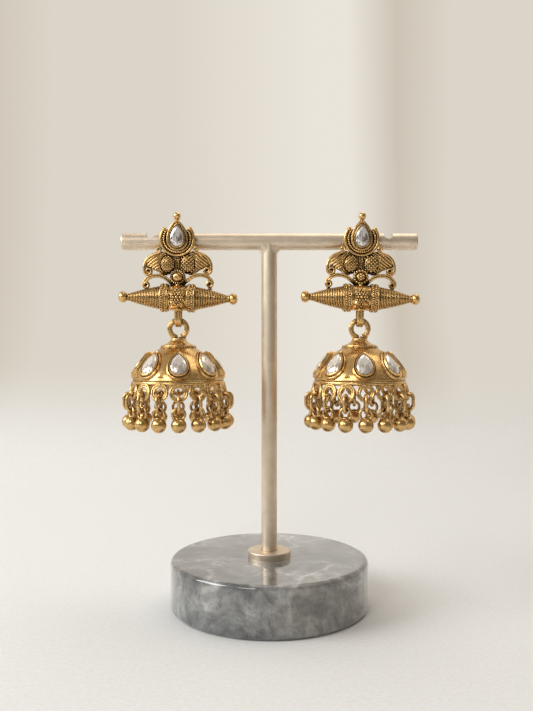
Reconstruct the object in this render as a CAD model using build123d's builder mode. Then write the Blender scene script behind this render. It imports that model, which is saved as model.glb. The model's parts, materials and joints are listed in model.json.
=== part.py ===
from build123d import *
from math import atan2, cos, degrees, radians, sin
import os

# A pair of jhumka earrings hung on a T-bar stand.  Millimetres, +Z up, the origin at the centre
# of the base's underside, the earrings' faces towards -Y.

# Stand
BASE_D = 59.0
BASE_H = 14.6
BASE_EDGE = 1.3
COLLAR_D = 12.8
COLLAR_H = 2.0
COLLAR_EDGE = 0.4
SPIGOT_DEPTH = 9.0  # how far the post goes down into the base
SPIGOT_GAP = 0.1
POST_R = 2.35
BAR_R = 2.5
BAR_Z = 108.9
BAR_HALF = 44.2
BAR_EDGE = 0.6
CORNER_R = 4.3  # centre line of the flared corners between post and bar
CORNER_WIRE_R = POST_R - 0.08
NOTCH_W = 2.7
NOTCH_DEPTH = 1.9
SPARE_NOTCH_X = 35.4

# Where the earrings hang: name, x of its bell's axis, lean of its top to the right, turn of its bell,
# and how far its spindle is soldered on out of square, its right end down
SIDES = (
    ("left", -26.76, -0.8, 6.5, 1.9),
    ("right", 26.58, 1.5, 0.0, 0.0),
)
EAR_NOTCH_X = 27.17
AXIS_Y = -4.2  # the spindle's and the bell's axis, in front of the bar
BACK_Y = -2.7  # back of the flat plate, just in front of the bar
PLATE_T = 1.0
FACE_Y = BACK_Y - PLATE_T

# Ear post
EAR_POST_R = 0.45
EAR_POST_Z = BAR_Z + BAR_R - NOTCH_DEPTH + EAR_POST_R + 0.09
EAR_POST_END_Y = 8.0
EAR_POST_TIP = 0.2  # rounding of its free end
EAR_GROOVE_Y = 3.4  # the groove that the friction nut snaps into
EAR_GROOVE_W = 0.6
EAR_GROOVE_R = 0.29
EAR_POST_SOCKET = 0.6
EAR_POST_GAP = 0.05

# Crescent setting at the top
HALO_Z = 109.2
HALO_R = 5.3
HALO_WIRES = ((4.95, 0.38), (4.2, 0.45))  # centre-line radius, wire radius
HORN_X = 3.8
HORN_Z = 112.0
HORN_BALL_R = 0.65
TOP_BALL_R = 1.2
TOP_BALL_Z = 115.9
TOP_STONE_W = 4.5
TOP_STONE_H = 6.6
TOP_STONE_Z = 109.95
TOP_STONE_GIRDLE = 1.3
TOP_STONE_CROWN = 0.7
TOP_COLLET_W = 6.2
TOP_COLLET_L = 9.3
TOP_COLLET_Z = 110.2
TOP_COLLET_H = 1.5
SHOULDER_BALL_R = 0.8
SHOULDER_X = 5.45
SHOULDER_Z = 106.25

TOP_NECK_R = 0.55
TOP_NECK_H = 1.8
TOP_NECK_DROP = 2.2  # from the ball's middle to the foot of its neck

# The plate behind the peacocks: x and z of each part's middle, then its size
NECK_W = 6.4
SHOULDER_OVAL = (5.6, 102.7, 2.9, 1.55, 28.0)  # x, z, half length, half width, slope
SHOULDER_DISC = (4.3, 104.4, 1.75)
HEART = (100.0, 3.4)  # z and side of the square between the birds
ROOT_W = 4.4
ROOT_DROP = 1.2  # how far the root stops short of the spindle's axis

# Peacocks and scrolls
EDGE = 0.12  # how far raised work stands in from the edge of the plate
BUTTON_SINK = 0.3
BALL_FORWARD = 0.1  # how far the horn and shoulder balls stand in front of the plate's face
STRIP_W = 1.0
STRIP_T = 1.5  # the scrolls stand a little above the plate
BREAST_X = 2.85
BREAST_Z = 101.75
BREAST_R = 2.3
BREAST_EDGE = 0.55  # how far the plate goes on around each breast
BREAST_RISE = 1.5
WING_X = 6.1
WING_Z = 102.5
WING_W = 1.9
WING_L = 4.0
WING_RISE = 0.9
WING_TURN = 118.0
TAIL_X = 6.05
TAIL_Z = 100.6
TAIL_R = 4.05
CURL_X = 8.6
CURL_Z = 99.75
CURL_R = 1.4
TAIL_TOP_TURN = 112.0
TAIL_TIP_START = 4.0
TAIL_TIP_TURN = -82.0
SCROLL_ROOT = (1.6, 95.9)
SCROLL_RISE = (3.2, 97.35)
SCROLL_CREST = (6.8, 98.35)
SCROLL_TIP = (10.07, 96.3)
SCROLL_FOOT_W = 0.9
SCROLL_FOOT_H = 1.2
SCROLL_FOOT_DROP = 1.5
SCROLL_FOOT_X = 9.35
SCROLL_FOOT_Z = 95.75
SCROLL_FOOT_R = 1.2
ROSETTE_Z = 97.9
ROSETTE_R = 2.3
ROSETTE_BEADS = 14
ROSETTE_BEAD_R = 0.45
ROSETTE_RISE = 0.7
ROSETTE_CORE_R = 1.15
ROSETTE_CORE_RISE = 1.7

# Spindle, all along X about (AXIS_Y, SPINDLE_Z)
SPINDLE_Z = 91.8
DRUM_R = 3.7
DRUM_HALF = 2.9
BAND_R = 4.25
BAND_W = 1.05
BAND_SIDE = 0.15  # slope of a band's outer sides
BAND_NICK = 0.1  # half width of the groove between the two bands
BAND_NICK_DEPTH = 0.35
CONE_R = 3.4
TIP_R = 0.8
TIP_X = 15.0
CONE_SWELL = 0.2  # how far the cone's middle stands out from straight
END_BALL_X = 16.2
END_BALL_W = 2.7
END_BALL_R = 1.7

# Hanging joint: the loop under the spindle holds the bell's ring
PIVOT_Z = 85.25
RING_WIRE_R = 0.78
RING_R = 2.5
LOOP_GAP = 0.15
LOOP_T = 1.25
LOOP_W = 2.05
LOOP_ROOT = 2.8  # where the loop's arms start, below the spindle's axis

# Bell
NECK_R = 2.2
NECK_Z = 79.9
CAP_R = 5.25
CAP_Z = 77.8
CAP_SWEEP = (1.1, -1.4)  # the cap's hollow slope, from the neck's edge
WALL = 0.8
RIM_R = 13.2
RIM_Z = 67.15
RIM_H = 1.3
RIM_BULGE = 0.35
# The dome's outside from under the cap to the rim, and its inside back up: radius, height.
DOME = (
    (CAP_R - 0.05, 77.1),
    (8.35, 74.95),
    (11.0, 72.0),
    (12.45, 69.85),
    (RIM_R, RIM_Z + RIM_H / 2),
)
HOLLOW = (
    (RIM_R - WALL, RIM_Z - RIM_H / 2),
    (11.65, 69.6),
    (10.3, 71.6),
    (7.6, 74.3),
    (0, 76.6),
)
STONES = 8
STONE_W = 4.9
STONE_H = 7.2
SEAT_R = 10.35  # radius and height of the middle of each stone seat
SEAT_Z = 71.9
SEAT_LEAN = 36.0  # how far each stone looks up from level
COLLET_W = 6.8
COLLET_H = 9.7
COLLET_STEP = 1.0
COLLET_RISE = 1.55
COLLET_SINK = 0.55  # how far a collet goes down into the dome
COLLET_LIP_W = STONE_W + 0.9
COLLET_LIP_H = STONE_H + 1.1
SEAT_FLOOR = 0.35
STONE_GAP = 0.06
STONE_GIRDLE = 0.9
STONE_CROWN = 0.65
STONE_TABLE = 0.62  # table size as a share of the stone
STONE_FACETS = 16

# Fringe
DROPS = 16
FIXED_LOOP_R = 2.15
FRINGE_WIRE_R = 0.5
FIXED_LOOP_LEAN = 12.0
FIXED_LOOP_AT = 13.8  # radius of its middle from the bell's axis
FIXED_LOOP_Z = 64.6
LINK_AT = 14.3
LINK_TOP_Z = 62.1
LINK_BEND_R = 1.525
LINK_STRAIGHT = 1.35
BEAD_LOOP_R = 1.65
BEAD_LOOP_WIRE_R = 0.5
DROP_GAP = 0.1  # between the bead's loop and the link that it hangs in
LINK_FLOOR_Z = LINK_TOP_Z - LINK_STRAIGHT - LINK_BEND_R + FRINGE_WIRE_R
BEAD_LOOP_Z = LINK_FLOOR_Z + DROP_GAP + BEAD_LOOP_WIRE_R - BEAD_LOOP_R
BEAD_R = 2.15
BEAD_DROP = 3.05  # from the middle of its loop to the middle of the bead

PLATE_BACK = Plane.XZ.offset(-BACK_Y)  # the plate's back face, looking out towards the front


def facing(x, y, z):
    """The plane through a point that faces the front, its x to the right and its y up."""
    return Plane(origin=(x, y, z), x_dir=(1, 0, 0), z_dir=(0, -1, 0))


def pear_outline(width, height):
    """A pear outline, point up, centred on its own middle, as a closed line."""
    low = width / 2
    high = height - low
    lift = (low - high) / 2
    side = (high**2 - low**2) / (2 * low)
    turn = degrees(atan2(high, side))
    CenterArc((0, lift), low, 180, 180)
    CenterArc((-side, lift), low + side, 0, turn)
    CenterArc((side, lift), low + side, 180 - turn, turn)


def pear(plane, width, height):
    """A pear-shaped sketch on a plane."""
    with BuildSketch(plane) as face:
        with BuildLine():
            pear_outline(width, height)
        make_face()
    return face.sketch


def pear_corners(width, height, count):
    """The corners of a pear cut with straight sides, evenly turned, the first at the point."""
    low = width / 2
    high = height - low
    lift = (low - high) / 2
    side = (high**2 - low**2) / (2 * low)
    reach = low + side
    upper = (count - 2) // 4
    turns = [atan2(high, side) * (1 - i / upper) for i in range(upper)]
    right = [(-side + reach * cos(turn), lift + reach * sin(turn)) for turn in turns]
    lower = count - 2 * upper
    turns = [radians(180 * i / (lower - 1)) for i in range(lower)]
    bottom = [(low * cos(turn), lift - low * sin(turn)) for turn in turns]
    left = [(-x, y) for x, y in reversed(right[1:])]
    return right + bottom + left


def cut_stone(plane, width, height, girdle, crown):
    """A flat-backed pear stone with a straight girdle, a ring of crown facets and a table."""
    outline = pear_corners(width, height, STONE_FACETS)
    table = [(x * STONE_TABLE, y * STONE_TABLE) for x, y in outline]
    with BuildSketch(plane) as back:
        Polygon(*outline, align=None)
    extrude(back.sketch, amount=girdle)
    with BuildSketch(plane.offset(girdle)) as lower:
        Polygon(*outline, align=None)
    with BuildSketch(plane.offset(girdle + crown)) as upper:
        Polygon(*table, align=None)
    loft([lower.sketch.face(), upper.sketch.face()], ruled=True)


def wire(path, radius):
    """A round wire along a line."""
    with BuildSketch(path ^ 0) as section:
        Circle(radius)
    sweep(section.sketch, path=path)


def arc_wire(plane, bend_radius, start, turn, radius):
    """A round wire bent along an arc about the origin of a plane."""
    out = plane.x_dir * cos(radians(start)) + plane.y_dir * sin(radians(start))
    across = Plane(origin=plane.origin + out * bend_radius, x_dir=out, z_dir=plane.z_dir.cross(out))
    with BuildSketch(across) as section:
        Circle(radius)
    revolve(section.sketch, Axis(plane.origin, plane.z_dir), revolution_arc=turn)


def ring(plane, bend_radius, radius):
    """A closed ring of round wire about the origin of a plane."""
    with Locations(plane.location):
        Torus(bend_radius, radius)


def button(x, z, radius, rise):
    """A round cushion standing on the plate's face, its foot sunk in the plate."""
    y = FACE_Y + BUTTON_SINK
    with BuildSketch(Plane.XY.offset(z)) as profile:
        with BuildLine():
            EllipticalCenterArc((x, FACE_Y), radius, rise, start_angle=270, arc_size=90)
            Polyline((x + radius, FACE_Y), (x + radius, y), (x, y), (x, FACE_Y - rise))
        make_face()
    revolve(profile.sketch, Axis((x, y, z), (0, 1, 0)))


def ball(x, y, z, radius):
    with Locations((x, y, z)):
        Sphere(radius)


def around(angle, radius, z):
    """The point at an angle round the bell, counted from the front towards +X."""
    return Vector(radius * sin(radians(angle)), -radius * cos(radians(angle)), z)


def outward(angle, lean=0.0):
    """The direction out of the bell at an angle round it, looking up by lean."""
    flat = cos(radians(lean))
    return Vector(flat * sin(radians(angle)), -flat * cos(radians(angle)), sin(radians(lean)))


def seat_plane(angle, rise=0.0):
    """The plane of one stone seat, its y up the dome and its z out of the dome."""
    out = outward(angle, SEAT_LEAN)
    along = Vector(cos(radians(angle)), sin(radians(angle)), 0)
    return Plane(origin=around(angle, SEAT_R, SEAT_Z) + out * rise, x_dir=along, z_dir=out)


# ---------------------------------------------------------------- stand
os.makedirs("parts", exist_ok=True)

with BuildPart() as marble_base:
    Cylinder(BASE_D / 2, BASE_H, align=(Align.CENTER, Align.CENTER, Align.MIN))
    fillet(marble_base.edges().filter_by(GeomType.CIRCLE), BASE_EDGE)
    with Locations((0, 0, BASE_H)):
        Hole(POST_R + SPIGOT_GAP, SPIGOT_DEPTH)
marble_base.part.label = "marble_base"
export_step(marble_base.part, "parts/marble_base.step")

with BuildPart() as base_collar:
    with BuildSketch(Plane.XY.offset(BASE_H)):
        Circle(COLLAR_D / 2)
        Circle(POST_R + SPIGOT_GAP, mode=Mode.SUBTRACT)
    extrude(amount=COLLAR_H)
    top_edges = base_collar.edges().filter_by(GeomType.CIRCLE).group_by(Axis.Z)[-1]
    fillet(top_edges.sort_by(SortBy.RADIUS)[-1], COLLAR_EDGE)
base_collar.part.label = "base_collar"
export_step(base_collar.part, "parts/base_collar.step")

with BuildPart() as t_bar:
    with BuildSketch(Plane.XY.offset(BASE_H - SPIGOT_DEPTH)):
        Circle(POST_R)
    extrude(amount=BAR_Z - BASE_H + SPIGOT_DEPTH)
    with BuildSketch(Plane.YZ.offset(-BAR_HALF)):
        with Locations((0, BAR_Z)):
            Circle(BAR_R)
    extrude(amount=2 * BAR_HALF)
    ends = t_bar.edges().filter_by(GeomType.CIRCLE).group_by(Axis.X)
    fillet(ends[0] + ends[-1], BAR_EDGE)
    for side, start in ((1, 90), (-1, 0)):
        arc_wire(facing(side * CORNER_R, 0, BAR_Z - CORNER_R), CORNER_R, start, 90, CORNER_WIRE_R)
    with BuildSketch(Plane.XZ.offset(-BAR_R - 1)):
        for x in (-SPARE_NOTCH_X, -EAR_NOTCH_X, EAR_NOTCH_X, SPARE_NOTCH_X):
            with Locations((x, BAR_Z + BAR_R - NOTCH_DEPTH + NOTCH_W / 2)):
                Circle(NOTCH_W / 2)
                Rectangle(NOTCH_W, NOTCH_W, align=(Align.CENTER, Align.MIN))
    extrude(amount=2 * BAR_R + 2, mode=Mode.SUBTRACT)
t_bar.part.label = "t_bar"
export_step(t_bar.part, "parts/t_bar.step")

# ---------------------------------------------------------------- the earring's soldered top
with BuildPart() as top:
    # The flat plate: disc behind the crescent, neck, breasts, wings, rosette and the root in the drum.
    with BuildSketch(PLATE_BACK):
        with Locations((0, HALO_Z)):
            Circle(HALO_R)
        with Locations((0, HORN_Z + HALO_R / 2)):
            Rectangle(2 * HALO_R, HALO_R, mode=Mode.SUBTRACT)
        with Locations((0, (HALO_Z + BREAST_Z) / 2)):
            Rectangle(NECK_W, HALO_Z - BREAST_Z)
        for side in (-1, 1):
            with Locations((side * BREAST_X, BREAST_Z)):
                Circle(BREAST_R + BREAST_EDGE)
            x, z, half_length, half_width, slope = SHOULDER_OVAL
            with Locations((side * x, z)):
                Ellipse(half_length, half_width, rotation=-side * slope)
            x, z, disc_radius = SHOULDER_DISC
            with Locations((side * x, z)):
                Circle(disc_radius)
        with Locations((0, HEART[0])):
            Rectangle(HEART[1], HEART[1])
        with Locations((0, ROSETTE_Z)):
            Circle(ROSETTE_R)
        with Locations((0, (ROSETTE_Z + SPINDLE_Z) / 2)):
            Rectangle(ROOT_W, ROSETTE_Z - SPINDLE_Z - ROOT_DROP)
    extrude(amount=PLATE_T)
    # Tails with their curls, and the scrolls that carry the plate on the spindle's cones.
    with BuildSketch(PLATE_BACK):
        for side in (-1, 1):
            for x, z, arc_radius, start, turn in (
                (TAIL_X, TAIL_Z, TAIL_R, 0, TAIL_TOP_TURN),
                (CURL_X, TAIL_Z, TAIL_X + TAIL_R - CURL_X, TAIL_TIP_START, TAIL_TIP_TURN),
            ):
                with BuildLine() as tail:
                    if side > 0:
                        CenterArc((x, z), arc_radius, start, turn)
                    else:
                        CenterArc((-x, z), arc_radius, 180 - start, -turn)
                trace(tail.line, STRIP_W)
            scroll_points = (SCROLL_ROOT, SCROLL_RISE, SCROLL_CREST, SCROLL_TIP)
            root, rise, crest, tip = [(side * x, z) for x, z in scroll_points]
            with BuildLine() as scroll:
                Line(root, rise)
                ThreePointArc(rise, crest, tip)
            trace(scroll.line, STRIP_W)
            with Locations((side * SCROLL_FOOT_X, SCROLL_FOOT_Z - SCROLL_FOOT_DROP)):
                Rectangle(SCROLL_FOOT_W, SCROLL_FOOT_H)
            for x, z, curl_r in (
                (CURL_X, CURL_Z, CURL_R),
                (SCROLL_FOOT_X, SCROLL_FOOT_Z, SCROLL_FOOT_R),
            ):
                with Locations((side * x, z)):
                    Circle(curl_r)
    extrude(amount=STRIP_T)
    # The crescent's wires, its horns, and the little balls on its shoulders.
    horn = degrees(atan2(HORN_Z - HALO_Z, HORN_X))
    for bend_radius, wire_radius in HALO_WIRES:
        arc_wire(facing(0, FACE_Y, HALO_Z), bend_radius, 180 - horn, 180 + 2 * horn, wire_radius)
    for side in (-1, 1):
        ball(side * HORN_X, FACE_Y - BALL_FORWARD, HORN_Z, HORN_BALL_R)
        ball(side * SHOULDER_X, FACE_Y - BALL_FORWARD, SHOULDER_Z, SHOULDER_BALL_R)
        button(side * BREAST_X, BREAST_Z, BREAST_R, BREAST_RISE)
        wing = facing(side * WING_X, FACE_Y, WING_Z).rotated((0, 0, side * WING_TURN))
        extrude(pear(wing, WING_W, WING_L), amount=WING_RISE)
    # The setting of the pear stone and the ball over its point.
    setting = facing(0, BACK_Y, TOP_COLLET_Z)
    extrude(pear(setting, TOP_COLLET_W, TOP_COLLET_L), amount=PLATE_T + TOP_COLLET_H)
    floor = facing(0, FACE_Y, TOP_STONE_Z)
    seat = pear(floor, TOP_STONE_W + 2 * STONE_GAP, TOP_STONE_H + 3 * STONE_GAP)
    extrude(seat, amount=TOP_COLLET_H + EDGE, mode=Mode.SUBTRACT)
    ball(0, FACE_Y - BALL_FORWARD, TOP_BALL_Z, TOP_BALL_R)
    with BuildSketch(Plane.XY.offset(TOP_BALL_Z - TOP_NECK_DROP)):
        with Locations((0, FACE_Y)):
            Circle(TOP_NECK_R)
    extrude(amount=TOP_NECK_H)
    # The rosette.
    button(0, ROSETTE_Z, ROSETTE_R - EDGE, ROSETTE_RISE)
    button(0, ROSETTE_Z, ROSETTE_CORE_R, ROSETTE_CORE_RISE)
    for i in range(ROSETTE_BEADS):
        turn = radians(360 * i / ROSETTE_BEADS)
        at = ROSETTE_R - ROSETTE_BEAD_R + BALL_FORWARD
        y = FACE_Y - ROSETTE_RISE / 2
        ball(at * cos(turn), y, ROSETTE_Z + at * sin(turn), ROSETTE_BEAD_R)
    # The loop that holds the bell's ring.
    reach = RING_WIRE_R + LOOP_GAP + LOOP_T / 2
    root_z = SPINDLE_Z - LOOP_ROOT
    with BuildLine(Plane.YZ) as loop_path:
        Line((AXIS_Y - reach, root_z), (AXIS_Y - reach, PIVOT_Z))
        CenterArc((AXIS_Y, PIVOT_Z), reach, 180, 180)
        Line((AXIS_Y + reach, PIVOT_Z), (AXIS_Y + reach, root_z))
    arm = Plane(origin=(0, AXIS_Y - reach, root_z), x_dir=(1, 0, 0), z_dir=(0, 0, -1))
    with BuildSketch(arm) as strap:
        Ellipse(LOOP_W / 2, LOOP_T / 2)
    sweep(strap.sketch, path=loop_path.line)
    # The socket of the ear post.
    with BuildSketch(PLATE_BACK) as socket:
        with Locations((0, EAR_POST_Z)):
            Circle(EAR_POST_R + EAR_POST_GAP)
    extrude(socket.sketch, amount=EAR_POST_SOCKET, mode=Mode.SUBTRACT)

with BuildPart() as spindle:
    band_middle = DRUM_HALF + BAND_W
    band_end = DRUM_HALF + 2 * BAND_W
    half = [
        (0, DRUM_R),
        (DRUM_HALF, DRUM_R),
        (DRUM_HALF + BAND_SIDE, BAND_R),
        (band_middle - BAND_NICK, BAND_R),
        (band_middle, BAND_R - BAND_NICK_DEPTH),
        (band_middle + BAND_NICK, BAND_R),
        (band_end - BAND_SIDE, BAND_R),
        (band_end, CONE_R),
        ((band_end + TIP_X) / 2, (CONE_R + TIP_R) / 2 + CONE_SWELL),
        (TIP_X, TIP_R),
        (TIP_X, 0),
    ]
    outline = [(-x, r) for x, r in reversed(half[1:])] + half
    with BuildSketch(Plane.XY.offset(SPINDLE_Z)):
        Polygon(*[(x, AXIS_Y + r) for x, r in outline], align=None)
    revolve(axis=Axis((0, AXIS_Y, SPINDLE_Z), (1, 0, 0)))
    for side in (-1, 1):
        with BuildSketch(Plane.XY.offset(SPINDLE_Z)):
            with BuildLine():
                left = (side * END_BALL_X - END_BALL_W / 2, AXIS_Y)
                right = (side * END_BALL_X + END_BALL_W / 2, AXIS_Y)
                widest = (side * END_BALL_X, AXIS_Y + END_BALL_R)
                Spline(left, widest, right, tangents=[(0, 1), (0, -1)])
                Line(left, right)
            make_face()
        revolve(axis=Axis((0, AXIS_Y, SPINDLE_Z), (1, 0, 0)))

with BuildPart() as top_stone:
    seat = facing(0, FACE_Y - STONE_GAP, TOP_STONE_Z)
    cut_stone(seat, TOP_STONE_W, TOP_STONE_H, TOP_STONE_GIRDLE, TOP_STONE_CROWN)

with BuildPart() as ear_post:
    groove_end = EAR_GROOVE_Y + EAR_GROOVE_W
    for start, end, post_radius in (
        (BACK_Y - EAR_POST_SOCKET, EAR_GROOVE_Y, EAR_POST_R),
        (EAR_GROOVE_Y, groove_end, EAR_GROOVE_R),
        (groove_end, EAR_POST_END_Y, EAR_POST_R),
    ):
        with BuildSketch(Plane.XZ.offset(-end)):
            with Locations((0, EAR_POST_Z)):
                Circle(post_radius)
        extrude(amount=end - start)
    fillet(ear_post.edges().filter_by(GeomType.CIRCLE).sort_by(Axis.Y)[-1], EAR_POST_TIP)

# ---------------------------------------------------------------- the bell
with BuildPart() as bell:
    with BuildSketch(Plane.XZ):
        with BuildLine():
            Polyline(HOLLOW[-1], (0, NECK_Z), (NECK_R, NECK_Z))
            sweep_x, sweep_z = CAP_SWEEP
            ThreePointArc((NECK_R, NECK_Z), (NECK_R + sweep_x, NECK_Z + sweep_z), (CAP_R, CAP_Z))
            Polyline((CAP_R, CAP_Z), (CAP_R, DOME[0][1]), DOME[0])
            Spline(*DOME)
            ThreePointArc(DOME[-1], (RIM_R + RIM_BULGE, RIM_Z), (RIM_R, RIM_Z - RIM_H / 2))
            Line((RIM_R, RIM_Z - RIM_H / 2), HOLLOW[0])
            Spline(*HOLLOW, tangents=[(-0.1, 1), (-1, 0)])
        make_face()
    revolve(axis=Axis.Z)
    # The ring, soldered into the cap's neck.
    ring(facing(0, 0, PIVOT_Z - RING_R), RING_R, RING_WIRE_R)
    # The stone collets: a stepped pear wall round each seat.
    for i in range(STONES):
        angle = 360 * i / STONES
        low = seat_plane(angle, -COLLET_SINK)
        extrude(pear(low, COLLET_W, COLLET_H), amount=COLLET_SINK + COLLET_STEP)
        extrude(pear(low, COLLET_LIP_W, COLLET_LIP_H), amount=COLLET_SINK + COLLET_RISE)
        floor = seat_plane(angle, SEAT_FLOOR)
        hole = pear(floor, STONE_W + 2 * STONE_GAP, STONE_H + 3 * STONE_GAP)
        extrude(hole, amount=COLLET_RISE, mode=Mode.SUBTRACT)
    # The fixed loops of the fringe, soldered under the rim.
    for i in range(DROPS):
        angle = 360 * i / DROPS
        normal = outward(angle, FIXED_LOOP_LEAN)
        along = Vector(cos(radians(angle)), sin(radians(angle)), 0)
        at = Plane(origin=around(angle, FIXED_LOOP_AT, FIXED_LOOP_Z), x_dir=along, z_dir=normal)
        ring(at, FIXED_LOOP_R, FRINGE_WIRE_R)

bell_stones = []
for i in range(STONES):
    with BuildPart() as bell_stone:
        seat = seat_plane(360 * i / STONES, SEAT_FLOOR + STONE_GAP)
        cut_stone(seat, STONE_W, STONE_H, STONE_GIRDLE, STONE_CROWN)
    bell_stones.append(bell_stone)

# The loose drops of the fringe: an oval link through each fixed loop, and a bead by its own loop.
with BuildPart() as links:
    for i in range(DROPS):
        angle = 360 * i / DROPS
        across = outward(angle)
        at = around(angle, LINK_AT, LINK_TOP_Z)
        plane = Plane(origin=at, x_dir=across, z_dir=across.cross(Vector(0, 0, 1)))
        with BuildLine(plane) as oval:
            CenterArc((0, 0), LINK_BEND_R, 0, 180)
            Line((-LINK_BEND_R, 0), (-LINK_BEND_R, -LINK_STRAIGHT))
            CenterArc((0, -LINK_STRAIGHT), LINK_BEND_R, 180, 180)
            Line((LINK_BEND_R, -LINK_STRAIGHT), (LINK_BEND_R, 0))
        wire(oval.line, FRINGE_WIRE_R)

with BuildPart() as beads:
    for i in range(DROPS):
        angle = 360 * i / DROPS
        out = outward(angle)
        along = Vector(cos(radians(angle)), sin(radians(angle)), 0)
        at = around(angle, LINK_AT, BEAD_LOOP_Z)
        ring(Plane(origin=at, x_dir=along, z_dir=out), BEAD_LOOP_R, BEAD_LOOP_WIRE_R)
        middle = around(angle, LINK_AT, BEAD_LOOP_Z - BEAD_DROP)
        with Locations(Plane(origin=middle, x_dir=(0, 0, -1), z_dir=out).location):
            Sphere(BEAD_R)

# ---------------------------------------------------------------- the pair, hung in its two notches
for side, x, lean, yaw, skew in SIDES:
    pivot = Location((x, AXIS_Y, PIVOT_Z), (0, lean, 0))
    on_bar = pivot * Location((0, -AXIS_Y, -PIVOT_Z))
    tilted = Location((0, AXIS_Y, SPINDLE_Z), (0, skew, 0)) * Location((0, -AXIS_Y, -SPINDLE_Z))
    hanging = Location((x, AXIS_Y, 0), (0, 0, yaw))
    with BuildPart() as soldered_top:
        with Locations(on_bar):
            add(top.part)
        with Locations(on_bar * tilted):
            add(spindle.part)
    soldered_top.part.label = f"{side}_top"
    export_step(soldered_top.part, f"parts/{side}_top.step")
    pieces = [
        ("top_stone", top_stone, on_bar),
        ("ear_post", ear_post, on_bar),
        ("bell", bell, hanging),
        ("fringe_links", links, hanging),
        ("fringe_beads", beads, hanging),
    ]
    pieces += [(f"bell_stone_{i + 1}", stone, hanging) for i, stone in enumerate(bell_stones)]
    for name, piece, place in pieces:
        with BuildPart() as placed:
            with Locations(place):
                add(piece.part)
        placed.part.label = f"{side}_{name}"
        export_step(placed.part, f"parts/{side}_{name}.step")
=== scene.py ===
import json
from math import atan2, cos, hypot, pi, radians, sin, sqrt, tau

import bpy
from mathutils import Matrix, Vector


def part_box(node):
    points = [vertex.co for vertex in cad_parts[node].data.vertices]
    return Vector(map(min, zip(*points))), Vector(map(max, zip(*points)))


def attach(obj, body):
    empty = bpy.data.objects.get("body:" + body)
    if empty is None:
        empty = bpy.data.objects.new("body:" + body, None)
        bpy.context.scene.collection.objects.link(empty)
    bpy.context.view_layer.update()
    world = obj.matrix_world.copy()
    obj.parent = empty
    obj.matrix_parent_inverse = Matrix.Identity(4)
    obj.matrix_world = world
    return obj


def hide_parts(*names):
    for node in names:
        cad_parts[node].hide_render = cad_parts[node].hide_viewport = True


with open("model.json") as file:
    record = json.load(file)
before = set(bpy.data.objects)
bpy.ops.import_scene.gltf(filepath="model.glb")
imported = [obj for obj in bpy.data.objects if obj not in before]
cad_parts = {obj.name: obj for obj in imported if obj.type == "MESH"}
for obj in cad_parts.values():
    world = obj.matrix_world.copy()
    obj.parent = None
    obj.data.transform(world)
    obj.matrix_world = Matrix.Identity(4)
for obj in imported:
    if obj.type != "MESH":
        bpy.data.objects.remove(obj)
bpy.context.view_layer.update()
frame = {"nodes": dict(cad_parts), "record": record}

# The pair of jhumka earrings on their stand: finishes, the fine jewellers' work, light and camera.
# Sizes are millimetres, and metres in the last section.  Each earring is drawn about its hanging
# point, where the bell's ring sits in the loop, so heights are millimetres above that point.
MM = 0.001
SMOOTH_BELOW = 38  # degrees between two faces, for a smooth edge

# -------- frame
SIDES = ("left", "right")
hang = {}
for joint in frame["record"]["behaviour"]["joints"]:
    hang[joint["child"].replace("_bell", "")] = Vector(joint["pos_m"]) / MM


# -------- shapes
class Shape:
    """Closed shells of one piece, gathered in millimetres about an origin."""

    def __init__(self):
        self.points = []
        self.faces = []

    def add(self, points, faces, place=None):
        first = len(self.points)
        self.points += [place @ Vector(p) if place else Vector(p) for p in points]
        self.faces += [[first + i for i in face] for face in faces]

    def grid(self, rows, closed_rows=False, place=None):
        """Faces through rows of points.  Each row is a round; the rows close too, or get end caps."""
        count, width = len(rows), len(rows[0])
        faces = []
        for i in range(count if closed_rows else count - 1):
            for j in range(width):
                a, b = i * width + j, i * width + (j + 1) % width
                c, d = (i + 1) % count * width + (j + 1) % width, (i + 1) % count * width + j
                faces.append([a, b, c, d])
        if not closed_rows:
            faces.append(list(range(width))[::-1])
            faces.append([(count - 1) * width + j for j in range(width)])
        self.add([p for row in rows for p in row], faces, place)

    def move(self, place):
        self.points = [place @ p for p in self.points]

    def build(self, name, origin, material, body, slot, stands_for, flat=False):
        mesh = bpy.data.meshes.new(name)
        mesh.from_pydata([(p + origin) * MM for p in self.points], [], self.faces)
        mesh.validate()
        mesh.update()
        mesh.materials.append(material)
        obj = bpy.data.objects.new(name, mesh)
        bpy.context.scene.collection.objects.link(obj)
        bpy.context.view_layer.objects.active = obj
        obj.select_set(True)
        bpy.ops.object.mode_set(mode="EDIT")
        bpy.ops.mesh.select_all(action="SELECT")
        bpy.ops.mesh.normals_make_consistent(inside=False)
        bpy.ops.object.mode_set(mode="OBJECT")
        if not flat:
            bpy.ops.object.shade_smooth_by_angle(angle=radians(SMOOTH_BELOW))
        obj.select_set(False)
        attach(obj, body)
        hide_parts(*stands_for)


def circle(count, phase=0.0):
    """The cosine and sine at even steps of a round that starts phase steps on."""
    return [(cos(tau * (k + phase) / count), sin(tau * (k + phase) / count)) for k in range(count)]


def swing(start, stop, step):
    """The cosine and sine at whole degrees, counted as range counts."""
    return [(cos(radians(a)), sin(radians(a))) for a in range(start, stop, step)]


def arc(centre, radius, start, turn, steps):
    """Points along an arc facing the front, angles in degrees from +X towards +Z."""
    cx, cy, cz = centre
    count = steps if abs(turn) >= 360 else steps + 1
    points = []
    for i in range(count):
        a = radians(start + turn * i / steps)
        points.append((cx + radius * cos(a), cy, cz + radius * sin(a)))
    return points


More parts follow.
